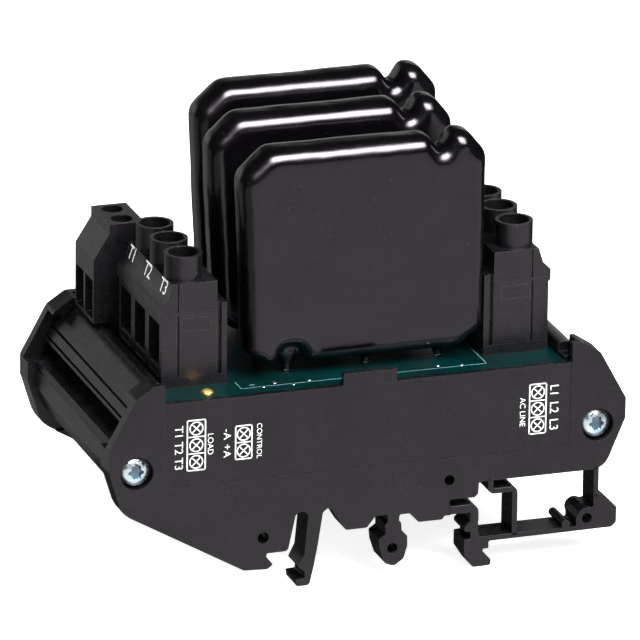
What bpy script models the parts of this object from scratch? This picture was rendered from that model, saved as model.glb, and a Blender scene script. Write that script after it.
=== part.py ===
"""Three-phase solid state relay assembly on a DIN-rail carrier.

An open-topped extruded profile is closed by two screwed side plates that carry the rail feet.
A circuit board slides into the profile and carries three dip-coated power modules, a load
terminal block, a line terminal block and a smaller control terminal block.

Lengths are in millimetres and become metres when an object is made.
X runs along the side plates, Y from the front plate to the rear plate, Z up.
The origin is the middle of the 35 mm rail, level with the rail's top face.
"""
import math

import bmesh
import bpy
from mathutils import Matrix, Vector

MM = 0.001
GAP = 0.3

# Carrier
DEPTH = 49.5
SCREW_LINE = 16.4
PLATE_HALF_LENGTH = 44.9
PLATE_THICKNESS = 4.5
FOOT_THICKNESS = 5.3
PLATE_SCREW_X = 40.0
COUNTERBORE_RADIUS = 2.85
COUNTERBORE_DEPTH = 2.2
LABEL_HALF_LENGTH = 35.2
LABEL_RECESS = 0.15
WINDOW_LOW = 4.2
WINDOW_HIGH = 12.2
WINDOW_WALL = 1.8

# Circuit board, heights above the screw line
BOARD_HALF_LENGTH = 36.0
BOARD_THICKNESS = 1.6
BOARD_TOP = SCREW_LINE + 11.4
BOARD_INSET = 1.5
THIN_WALL = 1.2

# Power modules
MODULE_HEIGHT = 37.1
MODULE_THICKNESS = 7.6
MODULE_PITCH = 15.8
MODULE_FIRST_FACE = 6.0
MODULE_OFFSETS = (("front", 1.05, 1.9), ("middle", 0.7, 2.8), ("rear", 3.5, 3.05))
MODULE_EDGE = 1.3
LEAD_PLACES = (("left", -12.3), ("centre", 1.5), ("right", 14.0))

# Terminal blocks: centre of the screws, measured outwards from the middle of the object
POWER_BLOCK_START = 7.6
POWER_PITCH = 7.62
POWER_SCREW_X = 28.7
CONTROL_BLOCK_START = 33.4
CONTROL_PITCH = 5.08
CONTROL_SCREW_X = 31.5

ARC_STEP = math.radians(22.0)
FRONT = 1
REAR = -1


# ---------------------------------------------------------------- shapes

def fillet(points):
    """A closed outline whose corners (a, b, radius) are rounded with arcs."""
    outline = []
    for index, point in enumerate(points):
        corner = Vector(point[:2])
        if len(point) < 3:
            outline.append(corner)
            continue
        before = Vector(points[index - 1][:2]) - corner
        after = Vector(points[(index + 1) % len(points)][:2]) - corner
        half = before.angle(after) / 2
        reach = min(point[2] / math.tan(half), 0.49 * before.length, 0.49 * after.length)
        radius = reach * math.tan(half)
        inward = (before.normalized() + after.normalized()).normalized()
        centre = corner + inward * (radius / math.sin(half))
        spoke = corner + before.normalized() * reach - centre
        sweep = spoke.angle_signed(corner + after.normalized() * reach - centre)
        steps = max(2, math.ceil(abs(sweep) / ARC_STEP))
        for step in range(steps + 1):
            turn = Matrix.Rotation(-sweep * step / steps, 2)
            outline.append(centre + turn @ spoke)
    return outline


def ring(x, z, radius, segments=20):
    """A circle as an outline."""
    angles = (2 * math.pi * k / segments for k in range(segments))
    return [Vector((x + radius * math.cos(a), z + radius * math.sin(a))) for a in angles]


def shifted(outline, dx=0.0, dz=0.0):
    return [(p[0] + dx, p[1] + dz, *p[2:]) for p in outline]


def mirrored(outline):
    return [(-p[0], p[1], *p[2:]) for p in reversed(outline)]


def prism(outlines, low, high, upright=True):
    """Outlines filled and extruded along Y (upright) or along Z; inner outlines are holes."""
    curve = bpy.data.curves.new("outline", "CURVE")
    curve.dimensions = "2D"
    curve.fill_mode = "BOTH"
    curve.extrude = (high - low) / 2
    for outline in outlines:
        spline = curve.splines.new("POLY")
        spline.points.add(len(outline) - 1)
        for point, place in zip(spline.points, outline):
            point.co = (place[0], place[1], 0.0, 1.0)
        spline.use_cyclic_u = True
    guide = bpy.data.objects.new("outline", curve)
    bpy.context.scene.collection.objects.link(guide)
    if upright:
        guide.matrix_world = Matrix(((1, 0, 0, 0), (0, 0, -1, (low + high) / 2), (0, 1, 0, 0), (0, 0, 0, 1)))
    else:
        guide.matrix_world = Matrix.Translation((0, 0, (low + high) / 2))
    bpy.context.view_layer.update()
    evaluated = guide.evaluated_get(bpy.context.evaluated_depsgraph_get())
    mesh = bpy.data.meshes.new_from_object(evaluated)
    shape = bmesh.new()
    shape.from_mesh(mesh)
    bmesh.ops.remove_doubles(shape, verts=shape.verts, dist=0.0001)
    bmesh.ops.transform(shape, matrix=guide.matrix_world, verts=shape.verts)
    bmesh.ops.dissolve_limit(
        shape, angle_limit=math.radians(0.5), verts=shape.verts, edges=shape.edges
    )
    bmesh.ops.recalc_face_normals(shape, faces=shape.faces)
    bpy.data.objects.remove(guide)
    bpy.data.curves.remove(curve)
    bpy.data.meshes.remove(mesh)
    return shape


def box(x, y, z):
    """A box from three (low, high) pairs."""
    shape = bmesh.new()
    bmesh.ops.create_cube(shape, size=1.0)
    size = Vector((x[1] - x[0], y[1] - y[0], z[1] - z[0]))
    centre = Vector((x[0] + x[1], y[0] + y[1], z[0] + z[1])) / 2
    bmesh.ops.scale(shape, vec=size, verts=shape.verts)
    bmesh.ops.translate(shape, vec=centre, verts=shape.verts)
    return shape


def rod(axis, centre, low, high, radius, tip_radius=None, segments=20):
    """A cylinder or cone along Y or Z; centre is its place on the other two axes."""
    shape = bmesh.new()
    bmesh.ops.create_cone(
        shape,
        cap_ends=True,
        segments=segments,
        radius1=radius,
        radius2=radius if tip_radius is None else tip_radius,
        depth=high - low,
    )
    middle = (low + high) / 2
    if axis == "Y":
        place = Vector((centre[0], middle, centre[1]))
        turn = Matrix.Rotation(-math.pi / 2, 4, "X")
    else:
        place = Vector((centre[0], centre[1], middle))
        turn = Matrix.Identity(4)
    bmesh.ops.transform(shape, matrix=Matrix.Translation(place) @ turn, verts=shape.verts)
    return shape


def together(*shapes):
    """Several shapes that don't touch, in one mesh."""
    whole = bmesh.new()
    for shape in shapes:
        part = bpy.data.meshes.new("part")
        shape.to_mesh(part)
        shape.free()
        whole.from_mesh(part)
        bpy.data.meshes.remove(part)
    return whole


# ---------------------------------------------------------------- objects

def clear_scene():
    for item in list(bpy.data.objects):
        bpy.data.objects.remove(item)


def new_collection(name):
    collection = bpy.data.collections.new(name)
    bpy.context.scene.collection.children.link(collection)
    return collection


def new_material(name, colour, roughness, metallic=0.0):
    material = bpy.data.materials.new(name)
    material.use_nodes = True
    shader = material.node_tree.nodes["Principled BSDF"]
    shader.inputs["Base Color"].default_value = (*colour, 1.0)
    shader.inputs["Roughness"].default_value = roughness
    shader.inputs["Metallic"].default_value = metallic
    return material


def add(name, shape, material, origin=(0.0, 0.0, 0.0)):
    """Make the named object in metres, with its origin at the given place."""
    bmesh.ops.translate(shape, vec=-Vector(origin), verts=shape.verts)
    bmesh.ops.scale(shape, vec=Vector((MM, MM, MM)), verts=shape.verts)
    mesh = bpy.data.meshes.new(name)
    shape.to_mesh(mesh)
    shape.free()
    mesh.materials.append(material)
    item = bpy.data.objects.new(name, mesh)
    item.location = Vector(origin) * MM
    parts.objects.link(item)
    return item


def combine(item, shape, operation):
    """Cut a shape from an object, or join it on, with a Boolean modifier."""
    bmesh.ops.scale(shape, vec=Vector((MM, MM, MM)), verts=shape.verts)
    mesh = bpy.data.meshes.new(item.name + "_tool")
    shape.to_mesh(mesh)
    shape.free()
    tool = bpy.data.objects.new(item.name + "_tool", mesh)
    tool.hide_render = True
    tool.display_type = "WIRE"
    cutters.objects.link(tool)
    modifier = item.modifiers.new(operation.title(), "BOOLEAN")
    modifier.solver = "EXACT"
    modifier.operation = operation
    modifier.object = tool


def cut(item, *shapes):
    for shape in shapes:
        combine(item, shape, "DIFFERENCE")


def join(item, *shapes):
    for shape in shapes:
        combine(item, shape, "UNION")


def from_plate(end, near, far):
    """World Y range of two depths measured inwards from the outer face of a plate."""
    face = -end * DEPTH / 2
    return tuple(sorted((face + end * near, face + end * far)))


def across(side, low, high):
    """World X range of two outward distances on one side of the object."""
    return tuple(sorted((side * low, side * high)))


# ---------------------------------------------------------------- carrier

def plate_outline():
    """Side plate with its rail feet, heights above the screw line."""
    ledge = 11.5
    top = 14.8
    bottom = -7.85
    body = [
        (PLATE_HALF_LENGTH, 4.3, 0.8),
        (40.3, 12.7, 1.2),
        (37.1, top, 1.0),
        (35.3, top),
        (35.3, ledge),
        (4.6, ledge),
        (4.6, 13.6),
        (-4.6, 13.6),
        (-4.6, ledge),
        (-35.3, ledge),
        (-35.3, top),
        (-37.1, top, 1.0),
        (-40.3, 12.7, 1.2),
        (-PLATE_HALF_LENGTH, 4.3, 0.8),
        (-PLATE_HALF_LENGTH, 0.8, 0.8),
        (-42.5, -6.9, 3.5),
    ]
    fixed_hook = [
        (-21.5, -19.0, 0.7),
        (-17.4, -19.2, 0.8),
        (-16.4, -18.4, 0.25),
        (-17.6, -17.5, 0.25),
        (-17.6, -16.4, 0.3),
        (-13.9, -16.4, 0.8),
        (-13.2, -13.0),
    ]
    flexible_leg = [
        (-12.6, -10.2, 0.5),
        (-11.4, -9.5, 0.9),
        (-10.4, -10.4, 0.4),
        (-11.0, -17.2),
        (-12.1, -19.4, 0.2),
        (-10.9, -20.4, 0.2),
        (-10.9, -21.5, 0.2),
        (-12.5, -21.6, 0.1),
        (-12.3, -22.8, 0.2),
        (-10.1, -22.8, 0.6),
        (-9.5, -20.2),
        (-8.7, -15.8),
        (-7.9, -10.3, 0.5),
        (-7.1, -9.6, 0.4),
        (-6.3, -9.9, 0.3),
        (-3.9, -13.8, 0.5),
        (-0.2, -13.8, 0.5),
        (1.3, -11.9, 0.3),
    ]
    centre_foot = [
        (3.4, -11.9, 0.2),
        (3.5, -13.2, 0.2),
        (3.0, -13.7, 0.2),
        (3.1, -15.3, 0.2),
        (1.9, -16.1, 0.3),
        (2.1, -17.8, 0.5),
        (3.0, -20.5, 0.9),
        (4.7, -21.1, 1.0),
        (6.3, -19.9, 0.8),
        (6.9, -17.8, 0.8),
        (6.9, -16.0, 0.4),
        (5.9, -15.3, 0.2),
        (5.8, -13.6, 0.2),
        (5.4, -13.1, 0.2),
        (5.5, -12.1, 0.3),
        (7.2, -12.1, 0.3),
        (8.8, -13.8, 0.4),
        (12.9, -13.8, 0.4),
        (13.4, -13.2, 0.2),
    ]
    latch_side = [
        (14.4, -13.2),
        (14.4, -11.6),
        (14.0, -11.0, 0.5),
        (14.4, -10.4),
        (18.6, -10.5, 0.5),
        (19.2, -9.9, 0.4),
        (19.3, -8.0, 0.2),
        (20.0, bottom, 0.2),
        (41.3, bottom, 3.2),
        (PLATE_HALF_LENGTH, 0.8, 0.8),
    ]
    return body + fixed_hook + flexible_leg + centre_foot + latch_side


def side_plate(name, end, material):
    """One closed end of the carrier, seen with its outer face towards its own end."""
    outline = shifted(plate_outline(), dz=SCREW_LINE)
    holes = [
        ring(-PLATE_SCREW_X, SCREW_LINE, 1.6),
        ring(PLATE_SCREW_X, SCREW_LINE, 1.6),
        ring(-18.2, SCREW_LINE - 13.6, 1.0, 14),
        ring(4.3, SCREW_LINE - 17.9, 0.92, 14),
        ring(14.1, SCREW_LINE - 7.0, 0.92, 14),
    ]
    low, high = from_plate(end, 0.0, FOOT_THICKNESS)
    plate = add(name, prism([fillet(outline)] + holes, low, high), material)
    foot_line = SCREW_LINE - 8.3
    behind = from_plate(end, PLATE_THICKNESS, FOOT_THICKNESS + 1)
    cut(plate, box((-50, 50), behind, (foot_line, foot_line + 40)))
    pocket = from_plate(end, THIN_WALL, FOOT_THICKNESS + 1)
    half = BOARD_HALF_LENGTH + GAP
    cut(plate, box((-half, half), pocket, (BOARD_TOP - BOARD_THICKNESS - GAP, BOARD_TOP + 10)))
    behind = from_plate(end, WINDOW_WALL, FOOT_THICKNESS + 1)
    opening = (SCREW_LINE + WINDOW_LOW, SCREW_LINE + WINDOW_HIGH)
    cut(plate, together(*(box(across(side, 33.9, 50), behind, opening) for side in (-1, 1))))
    bore = from_plate(end, -1.0, COUNTERBORE_DEPTH)
    heads = [
        rod("Y", (side * PLATE_SCREW_X, SCREW_LINE), *bore, COUNTERBORE_RADIUS, segments=28)
        for side in (-1, 1)
    ]
    cut(plate, together(*heads))
    recess = from_plate(end, -1.0, LABEL_RECESS)
    cut(
        plate,
        box((-LABEL_HALF_LENGTH, LABEL_HALF_LENGTH), recess, (SCREW_LINE - 3.1, SCREW_LINE + 11.1)),
    )
    return plate


def profile_outline():
    """Section of the extruded housing: round the outside, then back round the inside."""
    outside = [
        (34.5, 11.7),
        (34.5, 13.5, 0.5),
        (36.7, 13.5, 2.2),
        (39.5, 10.2, 0.3),
        (39.9, 9.7),
        (39.3, 9.5),
        (39.4, 9.1),
        (40.1, 9.3),
        (40.95, 8.15),
        (40.3, 8.0),
        (40.4, 7.65),
        (41.1, 7.75),
        (41.3, 7.3),
        (38.4, 6.9),
        (38.2, 4.9),
        (43.1, 4.35),
        (43.4, 3.4),
        (43.2, 3.2),
        (43.5, 2.9),
        (43.5, -0.2, 1.0),
        (41.6, -4.5, 1.5),
        (39.0, -6.7, 1.0),
    ]
    inside = [
        (36.2, -5.2, 1.0),
        (37.2, -3.4, 0.6),
        (37.2, 3.0, 0.6),
        (36.8, 4.0, 0.4),
        (36.8, 8.2, 0.5),
        (34.2, 8.4),
        (34.2, 9.5),
        (36.3, 9.5),
        (36.3, 11.7),
    ]
    return shifted(outside + mirrored(outside) + mirrored(inside) + inside, dz=SCREW_LINE)


def housing_profile(material):
    """Extrusion whose marker ribs run out through the plates' windows; the rest stops short."""
    reach = DEPTH / 2 - WINDOW_WALL - GAP
    screw_bores = [ring(side * PLATE_SCREW_X, SCREW_LINE, 1.6) for side in (-1, 1)]
    section = [fillet(profile_outline())] + screw_bores
    profile = add("housing_profile", prism(section, -reach, reach), material)
    for end in (FRONT, REAR):
        beyond = from_plate(end, -1.0, PLATE_THICKNESS + GAP)
        cut(
            profile,
            box((-50, 50), beyond, (0.0, SCREW_LINE + WINDOW_LOW + GAP)),
            box((-50, 50), beyond, (SCREW_LINE + WINDOW_HIGH - GAP, SCREW_LINE + 20)),
        )


def plate_screw(name, side, end, material):
    """Pan-head self-tapping screw with a cross recess, sunk in the plate's counterbore."""
    x = side * PLATE_SCREW_X
    centre = (x, SCREW_LINE)
    rim = from_plate(end, 1.0, COUNTERBORE_DEPTH - GAP)
    dome = from_plate(end, 0.35, 1.0)
    wide, narrow = 2.15, 1.55
    radii = (narrow, wide) if end == FRONT else (wide, narrow)
    head = rod("Y", centre, *rim, wide, segments=24)
    screw = add(name, head, material)
    join(
        screw,
        rod("Y", centre, *dome, radii[0], radii[1], segments=24),
        rod("Y", centre, *from_plate(end, 1.5, 15.0), 1.25, segments=16),
    )
    recess = from_plate(end, -0.5, 1.3)
    long, short = 1.1, 0.3
    cut(
        screw,
        box((x - long, x + long), recess, (SCREW_LINE - short, SCREW_LINE + short)),
        box((x - short, x + short), recess, (SCREW_LINE - long, SCREW_LINE + long)),
    )


# ---------------------------------------------------------------- rail latch

def rail_latch(name, end, material):
    """Spring-loaded foot with its release bar and the pierced block that a screwdriver pulls."""
    outline = [
        (18.1, -14.4),
        (16.9, -15.7, 0.2),
        (16.9, -16.3, 0.1),
        (18.0, -16.6),
        (18.0, -17.8),
        (16.9, -17.9, 0.1),
        (16.9, -20.4, 0.6),
        (18.5, -22.9, 0.4),
        (21.7, -22.8, 0.5),
        (21.6, -21.8, 0.3),
        (20.1, -20.3, 0.2),
        (20.3, -19.8, 0.1),
        (21.2, -19.8, 0.2),
        (21.2, -18.5, 0.3),
        (42.9, -18.4, 0.6),
        (43.7, -17.6, 0.5),
        (43.7, -14.9, 0.3),
        (41.2, -12.4, 0.3),
        (39.6, -12.3),
        (39.6, -14.5),
        (38.2, -14.5, 0.3),
        (37.1, -15.1, 0.3),
        (36.6, -16.2, 0.3),
        (36.6, -17.6, 0.2),
        (19.3, -17.6, 0.4),
        (19.3, -14.4),
    ]
    eye = (38.5, SCREW_LINE - 16.4)
    low, high = from_plate(end, 0.0, FOOT_THICKNESS)
    body = prism([fillet(shifted(outline, dz=SCREW_LINE))], low, high)
    latch = add(name, body, material)
    join(
        latch,
        rod("Y", eye, *from_plate(end, FOOT_THICKNESS - 0.5, 6.7), 1.6, segments=20),
        rod("Y", (34.8, SCREW_LINE - 17.1), *from_plate(end, -0.05, 6.5), 0.75, segments=16),
    )
    cut(latch, rod("Y", eye, *from_plate(end, -1.0, 8.0), 0.9, segments=14))


def flexures(prefix, end, material):
    """The three thin webs that hang a latch from its plate and spring it back."""
    stem = [
        (14.4 + GAP, -13.2),
        (17.9, -13.2, 0.2),
        (18.1, -14.1),
        (19.3, -14.1),
        (19.3, -12.2, 0.6),
        (18.3, -11.6, 0.4),
        (14.4 + GAP, -11.6),
    ]
    loop = [
        (20.7, -7.85 - GAP),
        (22.0, -7.85 - GAP),
        (22.1, -9.3, 0.2),
        (25.9, -9.3, 0.9),
        (26.1, -17.6 + GAP),
        (25.3, -17.6 + GAP),
        (25.3, -10.25, 0.2),
        (21.0, -10.25, 0.8),
    ]
    strut = [(39.6, -7.85 - GAP), (39.6, -12.3 + GAP), (40.4, -12.3 + GAP), (40.4, -7.85 - GAP)]
    span = from_plate(end, 0.0, FOOT_THICKNESS)
    for word, outline in (("stem_web", stem), ("spring_loop", loop), ("strut", strut)):
        shape = prism([fillet(shifted(outline, dz=SCREW_LINE))], *span)
        add(f"{prefix}_latch_{word}", shape, material)


# ---------------------------------------------------------------- circuit board and modules

def board_depth(y):
    """World Y of a depth measured from the front plate's outer face."""
    return y - DEPTH / 2


def module_centre(index):
    return board_depth(MODULE_FIRST_FACE + MODULE_THICKNESS / 2 + index * MODULE_PITCH)


def lead_holes():
    for index, (_, x, _) in enumerate(MODULE_OFFSETS):
        for _, dx in LEAD_PLACES:
            yield x + dx, module_centre(index), 0.75


def circuit_board(material, pin_places):
    half = BOARD_HALF_LENGTH
    edge = DEPTH / 2 - BOARD_INSET
    outline = [(-half, -edge), (half, -edge), (half, edge), (-half, edge)]
    holes = [ring(x, y, radius, 10) for x, y, radius in [*lead_holes(), *pin_places]]
    shape = prism([outline] + holes, BOARD_TOP - BOARD_THICKNESS, BOARD_TOP, upright=False)
    return add("circuit_board", shape, material)


def power_module(word, index, x, lift, coating, ceramic, metal):
    """Dip-coated power module: coating, ceramic substrate inside it, and leads into the board."""
    y = module_centre(index)
    foot = BOARD_TOP + lift
    outline = [
        (-19.4, 2.3, 1.0),
        (-16.4, 0.0, 0.7),
        (-14.8, 0.0, 0.6),
        (-13.2, 2.7, 0.6),
        (-11.4, 2.7, 0.6),
        (-9.9, 0.0, 0.8),
        (17.0, 0.0, 2.0),
        (20.9, 2.8, 1.5),
        (20.9, 33.4, 2.6),
        (16.6, 37.3, 2.4),
        (14.9, 36.9, 1.0),
        (13.5, 34.8, 0.8),
        (11.2, MODULE_HEIGHT, 1.4),
        (-16.2, MODULE_HEIGHT, 3.0),
        (-21.0, 33.0, 3.0),
    ]
    half = MODULE_THICKNESS / 2
    shape = prism([fillet(shifted(outline, x, foot))], y - half, y + half)
    body = add(f"power_module_{word}", shape, coating)
    bevel = body.modifiers.new("Edge", "BEVEL")
    bevel.limit_method = "ANGLE"
    bevel.angle_limit = math.radians(60)
    bevel.width = MODULE_EDGE * MM
    bevel.segments = 2
    low, high = foot + 4.5, foot + 33.0
    cut(body, box((x - 18.0, x + 18.0), (y - 0.9, y + 0.9), (foot - 2.0, high)))
    slab = box((x - 17.6, x + 17.6), (y - 0.5, y + 0.5), (low, high - GAP))
    add(f"module_substrate_{word}", slab, ceramic)
    for place, dx in LEAD_PLACES:
        lead = box(
            (x + dx - 0.4, x + dx + 0.4),
            (y - 0.2, y + 0.2),
            (BOARD_TOP - BOARD_THICKNESS - 1.8, low - GAP),
        )
        add(f"module_lead_{word}_{place}", lead, metal)


# ---------------------------------------------------------------- terminal blocks

class PowerBlock:
    """Sizes of a 7.62 mm block: u outwards from the middle, z above the board."""

    outline = [
        (22.3, 0.0),
        (33.6, 0.0),
        (33.6, 11.9),
        (33.95, 12.2),
        (33.95, 14.0),
        (32.6, 15.3),
        (31.8, 17.8),
        (24.0, 17.8),
        (24.0, 13.9),
        (22.3, 13.9),
    ]
    screw_u = POWER_SCREW_X
    pitch = POWER_PITCH
    tower = (3.15, 22.0)
    bore = (2.55, 12.9)
    shank_hole = 1.5
    chamber = ((26.0, 31.3), 3.1, (1.2, 11.4))
    funnel = [(34.4, 1.2), (34.4, 11.4), (31.2, 8.9), (31.2, 3.0)]
    funnel_half = 2.8
    slot = ((24.8, 26.1), 1.7, 8.0)
    grooves = ((23.2, 23.9, 0.8), (30.55, 30.85, 0.4))
    head = (2.1, 13.2, 15.2)
    shank = (1.22, 7.0)
    cage = (2.2, 2.7, (1.6, 8.2))
    window = (1.9, (2.6, 7.0))
    cage_hole = 1.35
    strip = (25.15, 25.75, 31.1)
    bar = (6.1, 6.7)
    strip_half = 1.4
    pin_half = 0.45


class ControlBlock:
    """Sizes of a 5.08 mm block whose wire side hangs over the profile's shoulder."""

    outline = [
        (28.3, 0.0),
        (34.1, 0.0),
        (34.1, 2.8),
        (37.1, 2.8),
        (37.1, 13.9),
        (34.4, 18.2),
        (34.4, 19.9),
        (28.3, 19.9),
    ]
    screw_u = CONTROL_SCREW_X
    pitch = CONTROL_PITCH
    tower = None
    bore = (1.85, 11.6)
    shank_hole = 1.25
    chamber = ((29.7, 33.9), 2.1, (1.2, 10.3))
    funnel = [(37.5, 3.4), (37.5, 10.4), (33.8, 8.8), (33.8, 3.8)]
    funnel_half = 2.1
    slot = ((28.95, 29.8), 1.3, 7.0)
    grooves = ()
    head = (1.5, 11.9, 13.5)
    shank = (1.0, 6.3)
    cage = (1.5, 1.8, (1.5, 7.3))
    window = (1.2, (2.4, 6.2))
    cage_hole = 1.15
    strip = (29.25, 29.65, 33.4)
    bar = (5.3, 5.9)
    strip_half = 0.9
    pin_half = 0.4


def terminal_housing(name, side, start, poles, spec, material):
    """Moulded block: towers, screw bores, clamp chambers, wire funnels and contact slots."""
    places = [board_depth(start + spec.pitch * (0.5 + k)) for k in range(poles)]
    outline = shifted(spec.outline, dz=BOARD_TOP)
    if side < 0:
        outline = mirrored(outline)
    low, high = board_depth(start), board_depth(start + spec.pitch * poles)
    block = add(name, prism([outline], low, high), material)
    x = side * spec.screw_u
    z = BOARD_TOP
    top = z + spec.outline[-1][1]
    if spec.tower:
        radius, height = spec.tower
        top = z + height
        tower_foot = z + 17.0
        join(block, together(*(rod("Z", (x, y), tower_foot, top, radius, segments=28) for y in places)))
    radius, shelf = spec.bore
    cut(block, together(*(rod("Z", (x, y), z + shelf, top + 3, radius, segments=24) for y in places)))
    reach, half, (floor, ceiling) = spec.chamber
    chambers = [box(across(side, *reach), (y - half, y + half), (z + floor, z + ceiling)) for y in places]
    cut(block, together(*chambers))
    hole = spec.shank_hole
    passages = [rod("Z", (x, y), z + ceiling - 0.3, z + shelf + 0.3, hole, segments=16) for y in places]
    cut(block, together(*passages))
    mouth = shifted(spec.funnel, dz=z)
    if side < 0:
        mouth = mirrored(mouth)
    half = spec.funnel_half
    cut(block, together(*(prism([mouth], y - half, y + half) for y in places)))
    reach, half, ceiling = spec.slot
    slots = [box(across(side, *reach), (y - half, y + half), (z - 1, z + ceiling)) for y in places]
    cut(block, together(*slots))
    for near, far, depth in spec.grooves:
        sides = across(side, near, far)
        column = (z - 1, z + 20)
        ends = [box(sides, (low - 1, low + depth), column), box(sides, (high - depth, high + 1), column)]
        cut(block, together(*ends))


def terminal_pole(prefix, number, side, y, spec, steel, plated):
    """One pole: slotted screw, rising clamp cage and the fixed contact with its board pin."""
    x = side * spec.screw_u
    z = BOARD_TOP
    radius, seat, crown = spec.head
    shank_radius, tip = spec.shank
    origin = (x, y, z + seat)
    screw = add(
        f"{prefix}_screw_{number}", rod("Z", (x, y), z + seat, z + crown, radius, segments=20), plated, origin
    )
    join(screw, rod("Z", (x, y), z + tip, z + seat + 0.5, shank_radius, segments=16))
    slot_half = 0.3
    cut(screw, box((x - 3, x + 3), (y - slot_half, y + slot_half), (z + crown - 0.8, z + crown + 1)))

    half_x, half_y, (foot, top) = spec.cage
    window_half, (sill, lintel) = spec.window
    cage = add(
        f"{prefix}_clamp_cage_{number}",
        box((x - half_x, x + half_x), (y - half_y, y + half_y), (z + foot, z + top)),
        steel,
        (x, y, z + foot),
    )
    cut(
        cage,
        box((x - 5, x + 5), (y - window_half, y + window_half), (z + sill, z + lintel)),
        rod("Z", (x, y), z + lintel - 0.5, z + top + 1, spec.cage_hole, segments=16),
    )

    near, far, end = spec.strip
    low, high = spec.bar
    outline = [(near, 0.4), (far, 0.4), (far, low), (end, low), (end, high), (near, high)]
    outline = shifted(outline, dz=z)
    if side < 0:
        outline = mirrored(outline)
    half = spec.strip_half
    contact = add(f"{prefix}_contact_{number}", prism([outline], y - half, y + half), steel)
    half = spec.pin_half
    tail = z - BOARD_THICKNESS - 2.0
    join(contact, box(across(side, near, far), (y - half, y + half), (tail, z + 0.8)))


def terminal_pins(side, start, poles, spec):
    """Board holes for one block: x, y and radius."""
    middle = side * (spec.strip[0] + spec.strip[1]) / 2
    return [(middle, board_depth(start + spec.pitch * (0.5 + k)), 0.9) for k in range(poles)]


def terminal_block(prefix, side, start, poles, spec, plastic, steel, plated):
    terminal_housing(f"{prefix}_terminal_housing", side, start, poles, spec, plastic)
    for pole in range(poles):
        y = board_depth(start + spec.pitch * (0.5 + pole))
        terminal_pole(f"{prefix}_terminal", pole + 1, side, y, spec, steel, plated)


# ---------------------------------------------------------------- assembly

def build():
    plastic = new_material("carrier_plastic", (0.030, 0.028, 0.030), 0.45)
    block_plastic = new_material("terminal_plastic", (0.035, 0.033, 0.035), 0.5)
    laminate = new_material("board_laminate", (0.0, 0.10, 0.05), 0.35)
    coating = new_material("module_coating", (0.020, 0.018, 0.020), 0.2)
    ceramic = new_material("module_ceramic", (0.80, 0.80, 0.76), 0.6)
    tinned = new_material("tinned_copper", (0.75, 0.74, 0.72), 0.3, 1.0)
    steel = new_material("clamp_steel", (0.62, 0.60, 0.55), 0.35, 1.0)
    zinc = new_material("zinc_screw", (0.70, 0.74, 0.78), 0.25, 1.0)

    housing_profile(plastic)
    for word, end in (("front", FRONT), ("rear", REAR)):
        side_plate(f"{word}_side_plate", end, plastic)
        rail_latch(f"{word}_rail_latch", end, plastic)
        flexures(word, end, plastic)
        for hand, side in (("left", -1), ("right", 1)):
            plate_screw(f"plate_screw_{word}_{hand}", side, end, zinc)

    blocks = (
        ("load", -1, POWER_BLOCK_START, 3, PowerBlock),
        ("line", 1, POWER_BLOCK_START, 3, PowerBlock),
        ("control", -1, CONTROL_BLOCK_START, 2, ControlBlock),
    )
    pins = []
    for prefix, side, start, poles, spec in blocks:
        terminal_block(prefix, side, start, poles, spec, block_plastic, steel, zinc)
        pins += terminal_pins(side, start, poles, spec)
    circuit_board(laminate, pins)
    for index, (word, x, lift) in enumerate(MODULE_OFFSETS):
        power_module(word, index, x, lift, coating, ceramic, tinned)


clear_scene()
parts = new_collection("solid_state_relay")
cutters = new_collection("cutters")
build()
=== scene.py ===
import math
from itertools import product

import bmesh
import bpy
from mathutils import Matrix, Vector


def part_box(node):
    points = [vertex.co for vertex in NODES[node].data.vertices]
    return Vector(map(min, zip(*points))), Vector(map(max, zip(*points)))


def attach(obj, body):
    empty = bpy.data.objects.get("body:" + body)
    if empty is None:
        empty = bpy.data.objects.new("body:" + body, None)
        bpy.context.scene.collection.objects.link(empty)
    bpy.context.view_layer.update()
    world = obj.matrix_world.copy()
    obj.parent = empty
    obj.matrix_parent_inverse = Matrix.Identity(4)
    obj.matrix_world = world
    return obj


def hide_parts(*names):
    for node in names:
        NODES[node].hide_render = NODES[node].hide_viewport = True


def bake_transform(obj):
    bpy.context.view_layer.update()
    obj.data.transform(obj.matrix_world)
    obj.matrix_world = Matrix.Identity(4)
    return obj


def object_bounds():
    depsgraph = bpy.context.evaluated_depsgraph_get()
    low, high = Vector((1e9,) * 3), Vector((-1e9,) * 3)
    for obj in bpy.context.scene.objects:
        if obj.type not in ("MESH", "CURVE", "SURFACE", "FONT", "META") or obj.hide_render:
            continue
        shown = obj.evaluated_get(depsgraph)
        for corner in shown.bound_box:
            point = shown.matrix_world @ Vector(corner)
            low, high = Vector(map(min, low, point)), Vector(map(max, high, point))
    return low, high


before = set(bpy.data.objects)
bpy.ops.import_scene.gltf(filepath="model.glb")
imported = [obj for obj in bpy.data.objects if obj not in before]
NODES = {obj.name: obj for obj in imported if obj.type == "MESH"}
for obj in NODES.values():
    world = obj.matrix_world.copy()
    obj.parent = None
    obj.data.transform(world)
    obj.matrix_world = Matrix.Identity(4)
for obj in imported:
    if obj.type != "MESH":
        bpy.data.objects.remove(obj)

CAD_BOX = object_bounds()
MM = 0.001

# Places read once from the frame, in metres
FRONT_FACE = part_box("front_side_plate")[0].y
BOARD_LOW, BOARD_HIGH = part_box("circuit_board")
SCREW_LOW, SCREW_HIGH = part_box("plate_screw_front_left")
SCREW_LINE = (SCREW_LOW.z + SCREW_HIGH.z) / 2

# Depth of the label's panel and thickness of ink, in metres
LABEL_RECESS = 0.15 * MM
INK = 0.015 * MM

WHITE = (1.0, 1.0, 1.0, 1.0)
BLACK = (0.0, 0.0, 0.0, 1.0)
WARM_SHEEN = (1.0, 0.92, 1.0, 1.0)
EVEN = (1.0, 1.0, 1.0)

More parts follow.
